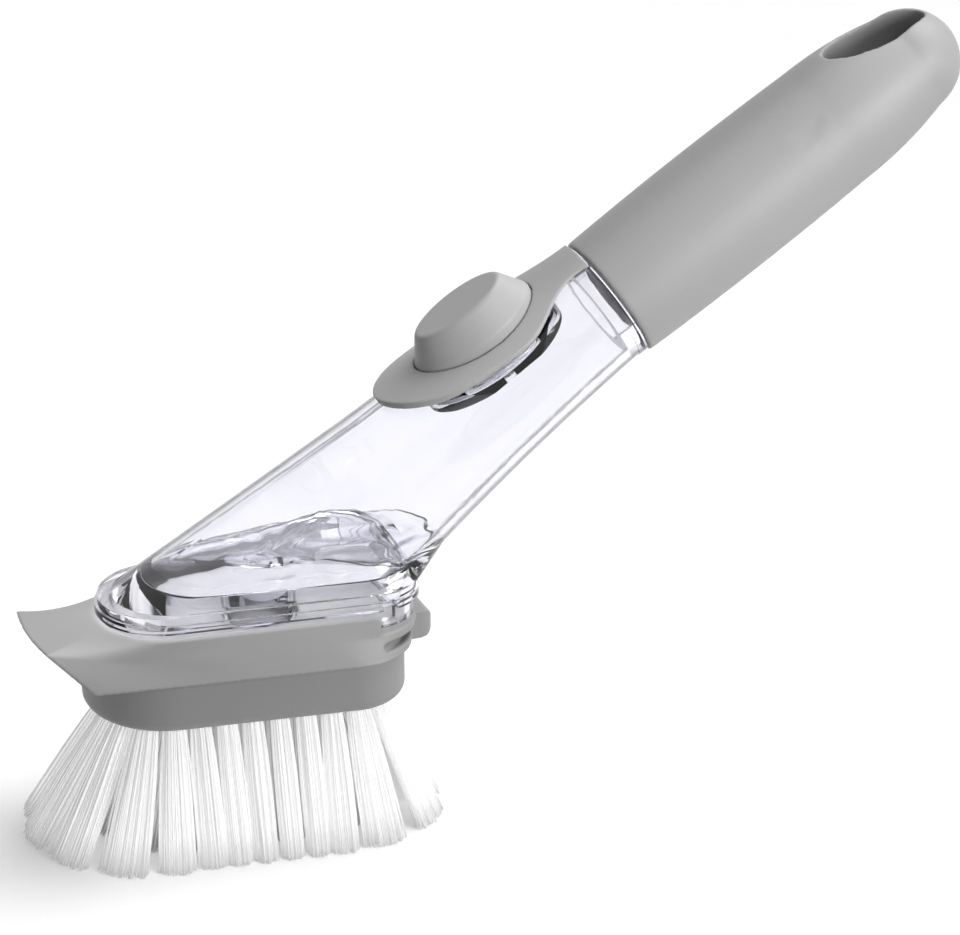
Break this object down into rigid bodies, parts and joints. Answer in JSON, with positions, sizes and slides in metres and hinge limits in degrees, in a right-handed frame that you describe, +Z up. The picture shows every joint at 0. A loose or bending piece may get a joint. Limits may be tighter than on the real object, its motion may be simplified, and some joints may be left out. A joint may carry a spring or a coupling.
{
  "type": "dish wand",
  "caption": "Dish brush wand: clear soap reservoir with a press button, screw-on grip with hang hole, scraper collar and a clip-on bristle head.",
  "frame": {"origin": "on the floor, under the middle of the bristle field", "axes": "+Z up, +X from the scraper nose towards the handle, +Y across the wand"},
  "size_m": [0.2496, 0.0768, 0.1819],
  "materials": {
    "grip_soft": "satin soft-touch thermoplastic rubber, mid grey",
    "grey_plastic": "fine satin polypropylene, mid grey",
    "clear_plastic": "polished clear styrene plastic",
    "liner_plastic": "plain moulded polypropylene",
    "silicone": "translucent silicone rubber",
    "nylon": "white nylon filament",
    "anchor_wire": "flat wire"
  },
  "bodies": {
    "reservoir": {"reservoir_body": "clear_plastic", "base_plate": "clear_plastic", "outlet_valve": "silicone", "valve_retainer": "clear_plastic", "pump_diaphragm": "silicone", "diaphragm_ring": "clear_plastic", "button_bezel": "grey_plastic", "scraper_collar": "grey_plastic"},
    "seal": {"neck_seal": "silicone"},
    "handle": {"handle_grip": "grip_soft", "handle_core": "liner_plastic"},
    "button": {"dispense_button": "grey_plastic"},
    "head": {"bristle_block": "grey_plastic", "outer_tufts": "nylon", "middle_tufts": "nylon", "inner_tufts": "nylon", "tuft_anchors": "anchor_wire"},
    "latch": {"release_latch": "grey_plastic"}
  },
  "joints": [
    {"name": "handle_turn", "type": "hinge", "parent": "reservoir", "child": "seal", "pos_m": [0.094, 0, 0.118], "axis": [0.8471, 0, 0.5314], "range_deg": [0, 720]},
    {"name": "handle_rise", "type": "slide", "parent": "seal", "child": "handle", "axis": [0.8471, 0, 0.5314], "range_m": [0, 0.0085]},
    {"name": "button_press", "type": "slide", "parent": "reservoir", "child": "button", "axis": [0.5314, 0, -0.8471], "range_m": [0, 0.003], "stiffness_N_per_m": 1200, "deforming": ["pump_diaphragm"]},
    {"name": "head_release", "type": "slide", "parent": "reservoir", "child": "head", "axis": [0, 0, -1], "range_m": [0, 0.03]},
    {"name": "latch_flex", "type": "hinge", "parent": "reservoir", "child": "latch", "pos_m": [0.0354, 0, 0.049], "axis": [0, -1, 0], "range_deg": [0, 10], "stiffness_Nm_per_rad": 0.4}
  ],
  "couplings": [
    {"joint": "handle_rise", "follows": "handle_turn", "m_per_rad": 0.00063662}
  ]
}
